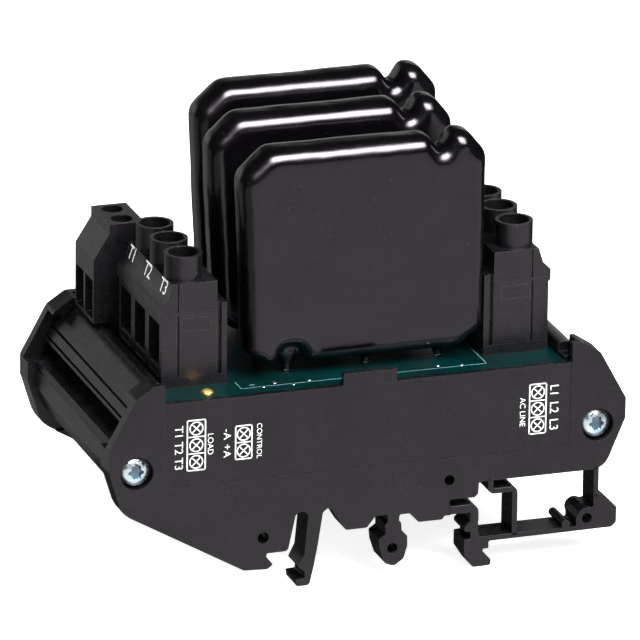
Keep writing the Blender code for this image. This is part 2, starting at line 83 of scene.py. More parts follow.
# The two power terminal blocks, and the side of the object that each is on
POWER_BLOCKS = (("load", -1), ("line", 1))


def in_scene(name, data):
    """A new object of the data, linked to the scene."""
    obj = bpy.data.objects.new(name, data)
    bpy.context.scene.collection.objects.link(obj)
    return obj


def hide_from(obj, *rays):
    for ray in rays:
        setattr(obj, f"visible_{ray}", False)


def calculate(tree, operation, first, second):
    """A maths node on one output and another output or a number."""
    node = tree.nodes.new("ShaderNodeMath")
    node.operation = operation
    tree.links.new(first, node.inputs[0])
    if isinstance(second, float):
        node.inputs[1].default_value = second
    else:
        tree.links.new(second, node.inputs[1])
    return node.outputs["Value"]


# ---------------------------------------------------------------- node materials

class Shader:
    """A Principled material and the few node chains that every surface here is made of."""

    def __init__(self, name, colour, roughness, metallic=0.0):
        self.material = bpy.data.materials.new(name)
        self.material.use_nodes = True
        self.tree = self.material.node_tree
        self.nodes = self.tree.nodes
        self.surface = self.nodes["Principled BSDF"]
        self.surface.inputs["Base Color"].default_value = (*colour, 1.0)
        self.surface.inputs["Roughness"].default_value = roughness
        self.surface.inputs["Metallic"].default_value = metallic
        self.place = self.nodes.new("ShaderNodeTexCoord").outputs["Object"]
        self.colour = None
        self.bump = None

    def link(self, source, target):
        self.tree.links.new(source, target)

    def set(self, **values):
        for name, value in values.items():
            self.surface.inputs[name.replace("_", " ")].default_value = value

    def noise(self, size, detail=3.0, stretch=EVEN):
        """Noise whose blotches are about size millimetres across."""
        mapping = self.nodes.new("ShaderNodeMapping")
        mapping.inputs["Scale"].default_value = stretch
        self.link(self.place, mapping.inputs["Vector"])
        noise = self.nodes.new("ShaderNodeTexNoise")
        noise.inputs["Scale"].default_value = 1.0 / (size * MM)
        noise.inputs["Detail"].default_value = detail
        self.link(mapping.outputs["Vector"], noise.inputs["Vector"])
        return noise.outputs["Fac"]

    def ramp(self, factor, low, high, start=0.3, end=0.7):
        """Maps a factor onto low..high."""
        node = self.nodes.new("ShaderNodeMapRange")
        node.inputs["From Min"].default_value = start
        node.inputs["From Max"].default_value = end
        node.inputs["To Min"].default_value = low
        node.inputs["To Max"].default_value = high
        self.link(factor, node.inputs["Value"])
        return node.outputs["Result"]

    def blotches(self, size, detail, laid, under):
        """Two colours that run into each other in blotches of a size in millimetres."""
        self.tint(self.ramp(self.noise(size, detail), 0.0, 1.0), laid, under)

    def tint(self, factor, laid, under=None):
        """Lays a colour over what the surface already has; the first is told what it lies over."""
        mix = self.nodes.new("ShaderNodeMix")
        mix.data_type = "RGBA"
        self.link(factor, mix.inputs["Factor"])
        if under is None:
            self.link(self.colour, mix.inputs["A"])
        else:
            mix.inputs["A"].default_value = (*under, 1.0)
        mix.inputs["B"].default_value = (*laid, 1.0)
        self.colour = mix.outputs["Result"]
        self.link(self.colour, self.surface.inputs["Base Color"])

    def vary_roughness(self, size, low, high):
        self.link(self.ramp(self.noise(size), low, high), self.surface.inputs["Roughness"])

    def relief(self, height, depth, strength=1.0):
        """Adds bump of a depth in millimetres."""
        node = self.nodes.new("ShaderNodeBump")
        node.inputs["Distance"].default_value = depth * MM
        node.inputs["Strength"].default_value = strength
        self.link(height, node.inputs["Height"])
        if self.bump is not None:
            self.link(self.bump, node.inputs["Normal"])
        self.bump = node.outputs["Normal"]
        self.link(self.bump, self.surface.inputs["Normal"])

    def edges(self, radius):
        """Factor that is 1 on sharp edges and 0 on flat faces."""
        bevel = self.nodes.new("ShaderNodeBevel")
        bevel.samples = 4
        bevel.inputs["Radius"].default_value = radius * MM
        geometry = self.nodes.new("ShaderNodeNewGeometry")
        dot = self.nodes.new("ShaderNodeVectorMath")
        dot.operation = "DOT_PRODUCT"
        self.link(bevel.outputs["Normal"], dot.inputs[0])
        self.link(geometry.outputs["Normal"], dot.inputs[1])
        return self.ramp(dot.outputs["Value"], 1.0, 0.0, 0.80, 0.99)


def moulded(name, colour, worn_and_highlit, roughness, grain, specular):
    """Moulded plastic: faint flow mottling, fine spark-eroded grain, edges painted paler, partly as
    rubbed wear and partly as painted highlight.
    """
    shader = Shader(name, colour, roughness)
    shader.set(Specular_IOR_Level=specular, Specular_Tint=WARM_SHEEN)
    lighter = tuple(c * 1.35 + 0.001 for c in colour)
    shader.blotches(9.0, 4.0, lighter, colour)
    # Paler edges: partly rubbed wear, partly a painted highlight along the rounded edges
    edges = shader.edges(0.22)
    rubbed_and_highlit = calculate(shader.tree, "MULTIPLY", edges, shader.ramp(shader.noise(1.3), 0.15, 0.9))
    shader.tint(rubbed_and_highlit, worn_and_highlit)
    shader.vary_roughness(2.2, roughness - 0.03, roughness + 0.05)
    shader.relief(shader.noise(grain, 2.0), 0.02, 0.3)
    shader.relief(shader.noise(6.0, 2.0), 0.12, 0.11)
    return shader.material


def carrier_plastic():
    # The second colour is laid on edges: rubbed wear and painted highlight
    black, worn_and_highlit = (0.0040, 0.0034, 0.0042), (0.030, 0.028, 0.030)
    return moulded("moulded_carrier_black", black, worn_and_highlit, roughness=0.26, grain=0.22, specular=0.36)


def terminal_plastic():
    # The second colour is laid on edges: rubbed wear and painted highlight
    black, worn_and_highlit = (0.0050, 0.0043, 0.0052), (0.045, 0.043, 0.045)
    return moulded("moulded_terminal_black", black, worn_and_highlit, roughness=0.28, grain=0.16, specular=0.43)


def dip_coat():
    """Fluidised-bed epoxy: glossy, softly uneven, with pinholes and specks of dust."""
    shader = Shader("epoxy_dip_coat", (0.0010, 0.0008, 0.0011), 0.22)
    shader.set(Specular_Tint=WARM_SHEEN)
    shader.blotches(11.0, 3.0, (0.0020, 0.0016, 0.0021), (0.0008, 0.0006, 0.0009))
    dust = shader.ramp(shader.noise(0.35, 1.0), 0.0, 0.6, 0.74, 0.80)
    shader.tint(dust, (0.06, 0.06, 0.06))
    shader.vary_roughness(5.0, 0.17, 0.24)
    shader.relief(shader.noise(3.5, 2.0), 0.10, 0.45)
    shader.relief(shader.noise(0.5, 2.0), 0.012, 0.5)
    return shader.material


def solder_mask():
    """Green mask over copper: paler and darker pours, with dark gaps between the patches."""
    shader = Shader("board_solder_mask", (0.0, 0.055, 0.020), 0.28)
    shader.blotches(7.0, 3.0, (0.0, 0.027, 0.030), (0.0, 0.013, 0.011))
    brick = shader.nodes.new("ShaderNodeTexBrick")
    brick.inputs["Scale"].default_value = 1.0
    brick.inputs["Brick Width"].default_value = 5.2 * MM
    brick.inputs["Row Height"].default_value = 1.6 * MM
    brick.inputs["Mortar Size"].default_value = 0.16 * MM
    shader.link(shader.place, brick.inputs["Vector"])
    gaps = shader.ramp(brick.outputs["Fac"], 0.0, 0.8, 0.0, 1.0)
    shader.tint(gaps, (0.0, 0.010, 0.008))
    shader.relief(brick.outputs["Fac"], -0.03, 0.6)
    shader.relief(shader.noise(0.4, 2.0), 0.008, 0.4)
    shader.set(Specular_IOR_Level=0.28, Specular_Tint=(0.7, 1.0, 1.0, 1.0))
    return shader.material


def ceramic():
    shader = Shader("fired_ceramic", (0.75, 0.74, 0.70), 0.6)
    shader.blotches(3.0, 3.0, (0.68, 0.67, 0.62), (0.78, 0.77, 0.73))
    shader.vary_roughness(1.0, 0.5, 0.7)
    shader.relief(shader.noise(0.15, 2.0), 0.01, 0.5)
    return shader.material


def metal(name, colour, stained, roughness, brush):
    """Plated metal: fine lines, drawn out where brush is small, and a patchy stain."""
    shader = Shader(name, colour, roughness, metallic=1.0)
    shader.blotches(1.4, 4.0, stained, colour)
    shader.vary_roughness(0.5, roughness - 0.08, roughness + 0.12)
    shader.relief(shader.noise(0.12, 3.0, brush), 0.006, 0.6)
    return shader.material


def zinc():
    """Bright zinc with the bluish passivation seen on the plate screws."""
    return metal("blue_zinc_plate", (0.80, 0.84, 0.88), (0.50, 0.66, 0.74), 0.26, (1.0, 1.0, 0.3))


def painted_shade_zinc():
    """The same plating deep in a screw's recess, painted darker as shade, and rougher."""
    return metal("painted_shade_zinc", (0.20, 0.27, 0.32), (0.10, 0.15, 0.19), 0.42, EVEN)


def nickel():
    colour, stained = (0.40, 0.39, 0.38), (0.22, 0.21, 0.20)
    return metal("terminal_screw_nickel", colour, stained, 0.34, (1.0, 1.0, 0.4))


def clamp_steel():
    colour, stained = (0.58, 0.56, 0.50), (0.40, 0.38, 0.33)
    return metal("plated_clamp_steel", colour, stained, 0.36, (1.0, 0.25, 1.0))


def tin():
    return metal("tinned_lead", (0.74, 0.73, 0.71), (0.58, 0.57, 0.55), 0.24, (1.0, 1.0, 0.2))


def solder():
    return metal("solder_fillet", (0.70, 0.70, 0.69), (0.50, 0.50, 0.49), 0.22, EVEN)


def gold():
    return metal("gold_pad", (0.78, 0.50, 0.12), (0.60, 0.34, 0.06), 0.36, EVEN)


def white_ink(name, colour):
    """Screen print: slightly uneven ink that lets the plastic through in pinholes."""
    shader = Shader(name, colour, 0.55)
    thin = tuple(c * 0.72 for c in colour)
    shader.tint(shader.ramp(shader.noise(0.5, 3.0), 0.0, 1.0, 0.45, 0.75), thin, colour)
    shader.vary_roughness(0.8, 0.45, 0.65)
    shader.relief(shader.noise(0.2, 2.0), 0.006, 0.5)
    return shader.material


def paper_floor():
    """Pale matt sweep with a trace of tooth, faintly lit of itself so that shadows stay weak."""
    shader = Shader("studio_floor", (0.93, 0.93, 0.93), 0.9)
    shader.set(Emission_Color=WHITE, Emission_Strength=0.86)
    shader.blotches(60.0, 3.0, (0.91, 0.91, 0.91), (0.93, 0.93, 0.93))
    shader.relief(shader.noise(2.0), 0.05, 0.2)
    return shader.material


# ---------------------------------------------------------------- pieces

def add_piece(name, mesh, body, material):
    """A new object that rides on a body and takes the material it is given."""
    obj = in_scene(name, mesh)
    mesh.materials.clear()
    mesh.materials.append(material)
    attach(obj, body)
    return obj


def paint(material, *names):
    for name in names:
        mesh = NODES[name].data
        mesh.materials.clear()
        mesh.materials.append(material)


def named(*words):
    """Frame nodes whose name holds all the words."""
    return [name for name in NODES if all(word in name for word in words)]


def soften(name, width, segments=2, angle=32.0):
    """Rounds a carried-over node's edges without touching its own vertices."""
    obj = NODES[name]
    weld = obj.modifiers.new("Weld", "WELD")
    weld.merge_threshold = 0.002 * MM
    planar = obj.modifiers.new("Planar", "DECIMATE")
    planar.decimate_type = "DISSOLVE"
    planar.angle_limit = math.radians(1.0)
    bevel = obj.modifiers.new("Edge", "BEVEL")
    bevel.width = width * MM
    bevel.segments = segments
    bevel.limit_method = "ANGLE"
    bevel.angle_limit = math.radians(angle)
    bevel.use_clamp_overlap = True
    for face in obj.data.polygons:
        face.use_smooth = True
    flatten = obj.modifiers.new("Flat faces", "WEIGHTED_NORMAL")
    flatten.mode = "FACE_AREA"
    flatten.weight = 80


def melt(obj, voxel, rounds, wobble):
    """Fuses overlapping shapes into one dipped skin: remeshed, relaxed and slightly uneven."""
    remesh = obj.modifiers.new("Skin", "REMESH")
    remesh.mode = "VOXEL"
    remesh.voxel_size = voxel * MM
    remesh.use_smooth_shade = True
    relax = obj.modifiers.new("Relax", "SMOOTH")
    relax.factor = 0.5
    relax.iterations = rounds
    clouds = bpy.data.textures.new(f"{obj.name}_sag", "CLOUDS")
    clouds.noise_scale = 9.0 * MM
    sag = obj.modifiers.new("Sag", "DISPLACE")
    sag.texture = clouds
    sag.texture_coords = "GLOBAL"
    sag.mid_level = 0.5
    sag.strength = wobble * MM


def rounded(points, step=math.radians(12.0)):
    """A closed outline whose corners (a, b, radius) become arcs."""
    outline = []
    for index, point in enumerate(points):
        corner = Vector(point[:2])
        if len(point) < 3:
            outline.append(corner)
            continue
        before = Vector(points[index - 1][:2]) - corner
        after = Vector(points[(index + 1) % len(points)][:2]) - corner
        half = before.angle(after) / 2
        longest = 0.49 * min(before.length, after.length)
        reach = min(point[2] / math.tan(half), longest)
        radius = reach * math.tan(half)
        inward = (before.normalized() + after.normalized()).normalized()
        centre = corner + inward * (radius / math.sin(half))
        spoke = corner + before.normalized() * reach - centre
        sweep = spoke.angle_signed(corner + after.normalized() * reach - centre)
        count = max(2, math.ceil(abs(sweep) / step))
        turns = [Matrix.Rotation(-sweep * k / count, 2) for k in range(count + 1)]
        outline += [centre + turn @ spoke for turn in turns]
    return outline


# Corners of a power module and their radii, in millimetres: x from MODULE_MIDDLE, z from its foot
MODULE_MIDDLE = 21.0
MODULE_OUTLINE = (
    (-20.0, 2.3, 1.6),
    (-16.4, 0.0, 1.2),
    (-14.8, 0.0, 0.8),
    (-13.4, 3.0, 0.8),
    (-11.3, 3.0, 0.8),
    (-9.7, 0.1, 1.2),
    (16.8, 0.1, 2.5),
    (21.15, 3.2, 2.0),
    (21.15, 33.6, 2.8),
    (18.1, 37.4, 2.2),
    (15.5, 37.7, 1.3),
    (13.3, 34.2, 0.7),
    (11.0, 37.45, 2.0),
    (-16.5, 37.45, 3.4),
    (-21.45, 33.0, 3.4),
)


def dipped_module(word, coat):
    """Pillow-shaped skin of a power module, with the coat running down its leads."""
    node = f"power_module_{word}"
    low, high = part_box(node)
    half = (high.y - low.y) / 2 / MM
    radius = 2.8
    clear_of_board = 0.35
    curve = bpy.data.curves.new(node, "CURVE")
    curve.dimensions = "2D"
    curve.fill_mode = "BOTH"
    curve.extrude = half - radius
    curve.bevel_depth = radius
    curve.bevel_resolution = 5
    curve.offset = -radius
    spline = curve.splines.new("POLY")
    outline = rounded(MODULE_OUTLINE)
    spline.points.add(len(outline) - 1)
    for point, place in zip(spline.points, outline):
        point.co = (place[0], place[1], 0.0, 1.0)
    spline.use_cyclic_u = True
    guide = in_scene(node, curve)
    bpy.context.view_layer.update()
    mesh = bpy.data.meshes.new_from_object(guide)
    bpy.data.objects.remove(guide)
    bpy.data.curves.remove(curve)
    place = Vector((low.x + MODULE_MIDDLE * MM, (low.y + high.y) / 2, low.z))
    upright = Matrix(((1, 0, 0), (0, 0, -1), (0, 1, 0))).to_4x4()
    mesh.transform(Matrix.Translation(place) @ upright @ Matrix.Scale(MM, 4))
    form = bmesh.new()
    form.from_mesh(mesh)
    for lead in named("module_lead", f"_{word}_"):
        start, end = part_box(lead)
        foot = Matrix.Translation(Vector(((start.x + end.x) / 2, (start.y + end.y) / 2, 0.0)))
        base = low.z / MM
        profile = [
            (0.75, (BOARD_HIGH.z + clear_of_board * MM) / MM),
            (0.95, base - 0.6),
            (1.5, base + 0.4),
            (2.3, base + 2.0),
            (1.2, base + 5.0),
        ]
        lathe(form, profile, foot, 20)
    skin = finish_form(form, f"dipped_module_{word}", "carrier", coat)
    melt(skin, voxel=0.30, rounds=12, wobble=0.30)
    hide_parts(node)


# ---------------------------------------------------------------- print

CAPITAL = 0.72   # height of a capital letter of the built-in font at size 1
SIDEWAYS = -90.0


class Print:
    """Flat artwork in millimetres, laid on a face by a matrix."""

    def __init__(self):
        self.form = bmesh.new()

    def polygon(self, points):
        self.form.faces.new([self.form.verts.new((x, y, 0.0)) for x, y in points])

    def bar(self, start, end, width):
        start, end = Vector(start), Vector(end)
        side = (end - start).normalized().orthogonal() * width / 2
        self.polygon([start + side, start - side, end - side, end + side])

    def path(self, points, width):
        for start, end in zip(points, points[1:]):
            reach = (Vector(end) - Vector(start)).normalized() * width / 2
            self.bar(Vector(start) - reach, Vector(end) + reach, width)

    def frame(self, low, high, width):
        (x0, y0), (x1, y1) = low, high
        self.path([(x0, y0), (x1, y0), (x1, y1), (x0, y1), (x0, y0)], width)

    def ring(self, centre, radius, width, segments=32):
        spokes = []
        for k in range(segments + 1):
            angle = 2 * math.pi * k / segments
            spokes.append(Vector((math.cos(angle), math.sin(angle))))
        middle = Vector(centre)
        inner, outer = radius - width / 2, radius + width / 2
        for a, b in zip(spokes, spokes[1:]):
            self.polygon([
                middle + a * inner, middle + a * outer, middle + b * outer, middle + b * inner,
            ])

    def words(self, text, centre, height, turn=0.0, spacing=1.0):
        """Text centred on a point; height is that of a capital letter."""
        curve = bpy.data.curves.new("words", "FONT")
        curve.body = text
        curve.align_x = "CENTER"
        curve.align_y = "CENTER"
        curve.size = height / CAPITAL
        curve.space_character = spacing
        holder = in_scene("words", curve)
        bpy.context.view_layer.update()
        mesh = bpy.data.meshes.new_from_object(holder)
        turned = Matrix.Rotation(math.radians(turn), 4, "Z")
        mesh.transform(Matrix.Translation((*centre, 0.0)) @ turned)
        self.form.from_mesh(mesh)
        bpy.data.objects.remove(holder)
        bpy.data.meshes.remove(mesh)
        bpy.data.curves.remove(curve)

    def stick(self, name, matrix, body, material, thickness=INK):
        """Gives the artwork its thickness of ink and lays it on its face."""
        bmesh.ops.remove_doubles(self.form, verts=self.form.verts, dist=0.001)
        solid = bmesh.ops.extrude_face_region(self.form, geom=list(self.form.faces))
        lifted = [item for item in solid["geom"] if isinstance(item, bmesh.types.BMVert)]
        bmesh.ops.translate(self.form, verts=lifted, vec=(0.0, 0.0, thickness / MM))
        bmesh.ops.recalc_face_normals(self.form, faces=self.form.faces)
        mesh = bpy.data.meshes.new(name)
        self.form.to_mesh(mesh)
        self.form.free()
        mesh.transform(matrix @ Matrix.Scale(MM, 4))
        return add_piece(name, mesh, body, material)


def face_matrix(origin, right, up):
    """Matrix that lays artwork on a face: x runs to the right, y up."""
    right, up = Vector(right).normalized(), Vector(up).normalized()
    matrix = Matrix((right, up, right.cross(up))).transposed().to_4x4()
    matrix.translation = origin
    return matrix


def screw_symbols(art, low, high, count):
    """A column of crossed circles in boxes, as terminals are drawn on a label."""
    border, line, stroke = 0.22, 0.20, 0.21
    radius, reach = 1.1, 0.74
    art.frame(low, high, border)
    step = (high[1] - low[1]) / count
    middle = (low[0] + high[0]) / 2
    for k in range(count):
        y = low[1] + step * (k + 0.5)
        if k:
            art.bar((low[0], low[1] + step * k), (high[0], low[1] + step * k), line)
        art.ring((middle, y), radius, line)
        art.bar((middle - reach, y - reach), (middle + reach, y + reach), stroke)
        art.bar((middle - reach, y + reach), (middle + reach, y - reach), stroke)


def label_print(ink):
    """Generic terminal plan on the front plate: poles, their numbers and what they are for."""
    art = Print()
    screw_symbols(art, (-31.4, -0.5), (-28.3, 8.2), 3)
    screw_symbols(art, (-23.1, 0.6), (-20.3, 6.4), 2)
    screw_symbols(art, (27.95, -0.45), (30.85, 8.25), 3)
    for number in (1, 2, 3):
        art.words(f"T{number}", (-32.9, 3.6 + 2.75 * (2 - number)), 1.45, SIDEWAYS)
        art.words(f"L{number}", (32.2, 3.85 + 3.0 * (2 - number)), 1.55, SIDEWAYS)
    for text, centre, height, spacing in (
        ("-A", (-24.6, 5.2), 1.3, 1.1),
        ("+A", (-24.6, 2.3), 1.3, 1.1),
        ("LOAD", (-27.45, 3.8), 1.0, 1.0),
        ("CONTROL", (-19.05, 3.5), 0.92, 1.0),
        ("AC LINE", (26.7, 3.55), 1.0, 1.0),
    ):
        art.words(text, centre, height, SIDEWAYS, spacing)
    origin = Vector((0.0, FRONT_FACE + LABEL_RECESS, SCREW_LINE))
    face = face_matrix(origin, (1, 0, 0), (0, 0, 1))
    art.stick("label_print", face, "carrier", ink)


def pole_numbers(ink):
    """T1 to T3 on the slanted face above the load terminals' wire entries."""
    art = Print()
    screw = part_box("load_terminal_screw_2")
    middle_pole = -(screw[0].y + screw[1].y) / 2 / MM
    pitch, height, spacing = 8.4, 2.45, 0.9
    for number in (1, 2, 3):
        along = middle_pole + pitch * (number - 2)
        art.words(f"T{number}", (along - 0.2, -0.1), height, 0.0, spacing)
    low, high = (-32.6, 15.3), (-31.8, 17.8)
    slope = Vector((high[0] - low[0], 0.0, high[1] - low[1])).normalized()
    x, z = (low[0] + high[0]) / 2 * MM, BOARD_HIGH.z + (low[1] + high[1]) / 2 * MM
    face = face_matrix(Vector((x, 0.0, z)), (0, -1, 0), slope)
    art.stick("pole_numbers", face, "carrier", ink)


def board_print(ink):
    """Silk screen on the board: an outline round the modules and a few dashes."""
    art = Print()
    edge = BOARD_LOW.y / MM
    line, dash = 0.11, 0.22
    left, right, near, far = -21.0, 21.6, edge + 2.4, edge + 46.0
    art.path([(left, edge + 5.5), (left, near), (right, near), (right, far)], line)
    art.path([(left, edge + 12.0), (left, far), (21.4, far)], line)
    for x in (-19.2, -17.4, -15.9, -12.6, -9.4, -7.7):
        art.bar((x, edge + 3.6), (x + 0.9, edge + 3.6), dash)
    face = face_matrix(Vector((0.0, 0.0, BOARD_HIGH.z)), (1, 0, 0), (0, 1, 0))
    art.stick("board_silk_screen", face, "carrier", ink)


def board_copper(mask):
    """Tracks standing up under the mask along the board's front strip."""
    art = Print()
    edge = BOARD_LOW.y / MM
    for k in range(5):
        y = edge + 1.0 + 0.9 * k
        art.bar((-19.5 + 0.6 * k, y), (-6.0 + 1.4 * k, y), 0.42)
    art.bar((-35.0, edge + 0.7), (-22.0, edge + 0.7), 0.5)
    art.bar((22.6, edge + 1.2), (34.8, edge + 1.2), 0.6)
    face = face_matrix(Vector((0.0, 0.0, BOARD_HIGH.z)), (1, 0, 0), (0, 1, 0))
    art.stick("board_tracks", face, "carrier", mask, thickness=0.035 * MM)


# ---------------------------------------------------------------- turned and small parts

def join_rings(form, rings):
    """Walls between neighbouring rings of vertices, and a cap at both ends."""
    for near, far in zip(rings, rings[1:]):
        for k in range(len(near)):
            form.faces.new((near[k], near[k - 1], far[k - 1], far[k]))
    form.faces.new(rings[0])
    form.faces.new(rings[-1])


def lathe(form, profile, place, segments):
    """Adds a surface of revolution about Z to a bmesh; profile is radius, height in millimetres."""
    rings = []
    for radius, height in profile:
        ring = []
        for k in range(segments):
            angle = 2 * math.pi * k / segments
            point = Vector((radius * math.cos(angle), radius * math.sin(angle), height)) * MM
            ring.append(form.verts.new(place @ point))
        rings.append(ring)
    join_rings(form, rings)


def finish_form(form, name, body, material, smooth=True):
    """Turns a bmesh into a piece."""
    bmesh.ops.recalc_face_normals(form, faces=form.faces)
    mesh = bpy.data.meshes.new(name)
    form.to_mesh(mesh)
    form.free()
    for face in mesh.polygons:
        face.use_smooth = smooth
    return add_piece(name, mesh, body, material)


def pan_screw(name, metal_material, shaded_recess_material):
    """Domed screw head with a six-lobed recess, on its shank."""
    low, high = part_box(name)
    outward = -1.0 if low.y < 0 else 1.0
    crown = low.y if outward < 0 else high.y
    place = Matrix.Translation(Vector(((low.x + high.x) / 2, crown, (low.z + high.z) / 2)))
    place = place @ Matrix.Rotation(math.radians(90.0 * -outward), 4, "X")
    radius, height, deep = 2.35, 1.55, 0.9
    lobe_radius, lobe_wave, flatness = 1.08, 0.20, 0.62
    mouth, rim = 1.06, 1.97
    angles = [math.tau * k / 72 for k in range(72)]
    form = bmesh.new()
    rings = []
    for share in (0.5, 0.96, mouth, 1.25, 1.45, 1.65, 1.85, rim):
        ring = []
        for angle in angles:
            lobe = lobe_radius + lobe_wave * math.cos(6 * angle)
            reach = lobe * share
            if share > mouth:
                reach = lobe + (radius - lobe) * (share - mouth) / (rim - mouth)
            dome = height * (math.sqrt(1.0 - flatness * (reach / radius) ** 2) - 1.0)
            level = -deep if share < 1.0 else dome
            ring.append((reach * math.cos(angle), reach * math.sin(angle), level))
        rings.append(ring)
    for reach, level in ((radius, -height), (1.25, -height), (1.25, -14.3), (0.5, -15.0)):
        rings.append([(reach * math.cos(a), reach * math.sin(a), level) for a in angles])
    join_rings(form, [[form.verts.new(place @ (Vector(p) * MM)) for p in ring] for ring in rings])
    piece = name.replace("plate_screw", "pan_screw")
    screw = finish_form(form, piece, "carrier", metal_material)
    screw.data.materials.append(shaded_recess_material)
    # Faces deep in the recess take the second slot: zinc painted darker as shade
    for face in screw.data.polygons:
        middle = place.inverted() @ face.center
        sunk = middle.z < -0.4 * deep * MM
        if sunk and math.hypot(middle.x, middle.y) < 1.15 * MM:
            face.material_index = 1
    screw.data.set_sharp_from_angle(angle=math.radians(40.0))
    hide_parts(name)


def centreline(points, step=0.4):
    """Open path through corners (x, z, radius), sampled evenly in millimetres."""
    path = [Vector(points[0][:2])]
    steps = 6
    for before, corner, after in zip(points, points[1:], points[2:]):
        middle = Vector(corner[:2])
        back = (Vector(before[:2]) - middle).normalized() * corner[2]
        ahead = (Vector(after[:2]) - middle).normalized() * corner[2]
        for k in range(steps + 1):
            t = k / steps
            start, end = (middle + back) * (1 - t) ** 2, (middle + ahead) * t ** 2
            path.append(start + middle * 2 * t * (1 - t) + end)
    path.append(Vector(points[-1][:2]))
    even = [path[0]]
    for start, end in zip(path, path[1:]):
        pieces = max(1, round((end - start).length / step))
        even += [start.lerp(end, k / pieces) for k in range(1, pieces + 1)]
    return even


def spring_web(word, end, points, width, plastic):
    """One of the thin webs between a side plate and its latch."""
    node = f"{end}_latch_{word}"
    low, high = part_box(node)
    path = centreline(points)
    form = bmesh.new()
    cut, level = 0.02, (high.y + low.y) / 2
    half, depth = width / 2, (high.y - low.y) / 2 / MM
    origin = Vector((0.0, level, SCREW_LINE))
    section = []
    for u, v in ((1, 1), (-1, 1), (-1, -1), (1, -1)):
        a, b = (u * (half - cut), v * depth), (u * half, v * (depth - cut))
        section += [b, a] if u * v > 0 else [a, b]
    rings = []
    for k, point in enumerate(path):
        along = (path[min(k + 1, len(path) - 1)] - path[max(k - 1, 0)]).normalized()
        side = Vector((-along.y, along.x))
        ring = []
        for across, y in section:
            x, z = point + side * across
            ring.append(form.verts.new(Vector((x, y, z)) * MM + origin))
        rings.append(ring)
    join_rings(form, rings)
    bmesh.ops.recalc_face_normals(form, faces=form.faces)
    name = f"{end}_bending_{word}"
    mesh = bpy.data.meshes.new(name)
    form.to_mesh(mesh)
    form.free()
    for face in mesh.polygons:
        face.use_smooth = True
    mesh.set_sharp_from_angle(angle=math.radians(30.0))
    mesh.materials.append(plastic)
    web = in_scene(name, mesh)
    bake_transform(web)
    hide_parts(node)


def spring_webs(plastic):
    """Paths in x and height from the plate screws, with corner radii, in millimetres."""
    stem = ((14.1, -12.4), (18.65, -12.4, 1.0), (18.65, -14.7))
    loop = ((21.4, -7.5), (21.4, -9.78, 0.7), (25.7, -9.78, 0.8), (25.7, -17.9))
    strut = ((40.0, -7.5), (40.0, -12.7))
    for end in ("front", "rear"):
        spring_web("stem_web", end, stem, 1.4, plastic)
        spring_web("spring_loop", end, loop, 0.9, plastic)
        spring_web("strut", end, strut, 0.85, plastic)


def solder_joints(metal_material):
    """A fillet round every pin and lead where it leaves the board's underside."""
    form = bmesh.new()
    for name in named("contact") + named("module_lead"):
        low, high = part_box(name)
        pin = Vector(((low.x + high.x) / 2, (low.y + high.y) / 2, 0.0))
        if "contact" in name:
            inner = min(abs(low.x), abs(high.x))
            pin.x = math.copysign(inner + 0.3 * MM, pin.x)
        below = Matrix.Translation(Vector((pin.x, pin.y, BOARD_LOW.z)))
        fillet = ((1.25, 0.0), (1.15, -0.12), (0.80, -0.45), (0.62, -1.0), (0.45, -1.45))
        lathe(form, fillet, below, 18)
    finish_form(form, "solder_joints", "carrier", metal_material)


def gold_pad(metal_material):
    """Domed pad at the left of the board's front strip."""
    form = bmesh.new()
    place = Matrix.Translation(Vector((-26.9 * MM, BOARD_LOW.y + 2.3 * MM, BOARD_HIGH.z)))
    dome = ((1.2, -0.01), (1.18, 0.12), (1.0, 0.34), (0.7, 0.52), (0.35, 0.62), (0.1, 0.65))
    lathe(form, dome, place, 28)
    finish_form(form, "board_gold_pad", "carrier", metal_material)


def board_vias(metal_material):
    """Small wetted vias in front of the first module."""
    form = bmesh.new()
    for x, y in ((-17.2, 2.2), (-14.9, 3.4), (-12.1, 2.0), (-9.0, 3.1), (13.5, 3.6), (17.4, 2.8)):
        place = Matrix.Translation(Vector((x * MM, BOARD_LOW.y + y * MM, BOARD_HIGH.z)))
        lathe(form, [(0.42, -0.01), (0.40, 0.04), (0.26, 0.12), (0.08, 0.16)], place, 16)
    finish_form(form, "board_vias", "carrier", metal_material)


def slab(form, low, high):
    """Adds a box between two corners in metres."""
    verts = [form.verts.new(corner) for corner in product(*zip(low, high))]
    faces = ((0, 1, 3, 2), (4, 6, 7, 5), (0, 4, 5, 1), (2, 3, 7, 6), (0, 2, 6, 4), (1, 5, 7, 3))
    for face in faces:
        form.faces.new([verts[k] for k in face])


# On both end faces of a power terminal housing: distances near and far from the object's middle,
# foot and top above the board, and how far it stands proud, in millimetres
HOUSING_RELIEF = (
    (24.1, 30.45, 2.0, 12.3, 0.12),
    (30.95, 33.5, 1.75, 12.3, 0.12),
    (24.1, 33.7, 12.3, 12.9, 0.12),
    (22.4, 33.5, 0.0, 1.7, 0.12),
    (25.2, 30.2, 9.4, 9.55, 0.216),
    (25.2, 30.2, 11.7, 11.85, 0.216),
    (25.2, 25.35, 9.4, 11.85, 0.216),
    (30.05, 30.2, 9.4, 11.85, 0.216),
)


def housing_mouldings(plastic):
    """Skins, ledges and frames that stand a hair proud of the power housings' end faces."""
    for prefix, side in POWER_BLOCKS:
        low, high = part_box(f"{prefix}_terminal_housing")
        form = bmesh.new()
        for face, outward in ((low.y, -1), (high.y, 1)):
            for near, far, foot, top, proud in HOUSING_RELIEF:
                x0, x1 = sorted((side * near * MM, side * far * MM))
                y0, y1 = sorted((face, face + outward * proud * MM))
                z0, z1 = BOARD_HIGH.z + foot * MM, BOARD_HIGH.z + top * MM
                slab(form, (x0, y0, z0), (x1, y1, z1))
        name = f"{prefix}_housing_skins"
        finish_form(form, name, "carrier", plastic, smooth=False)


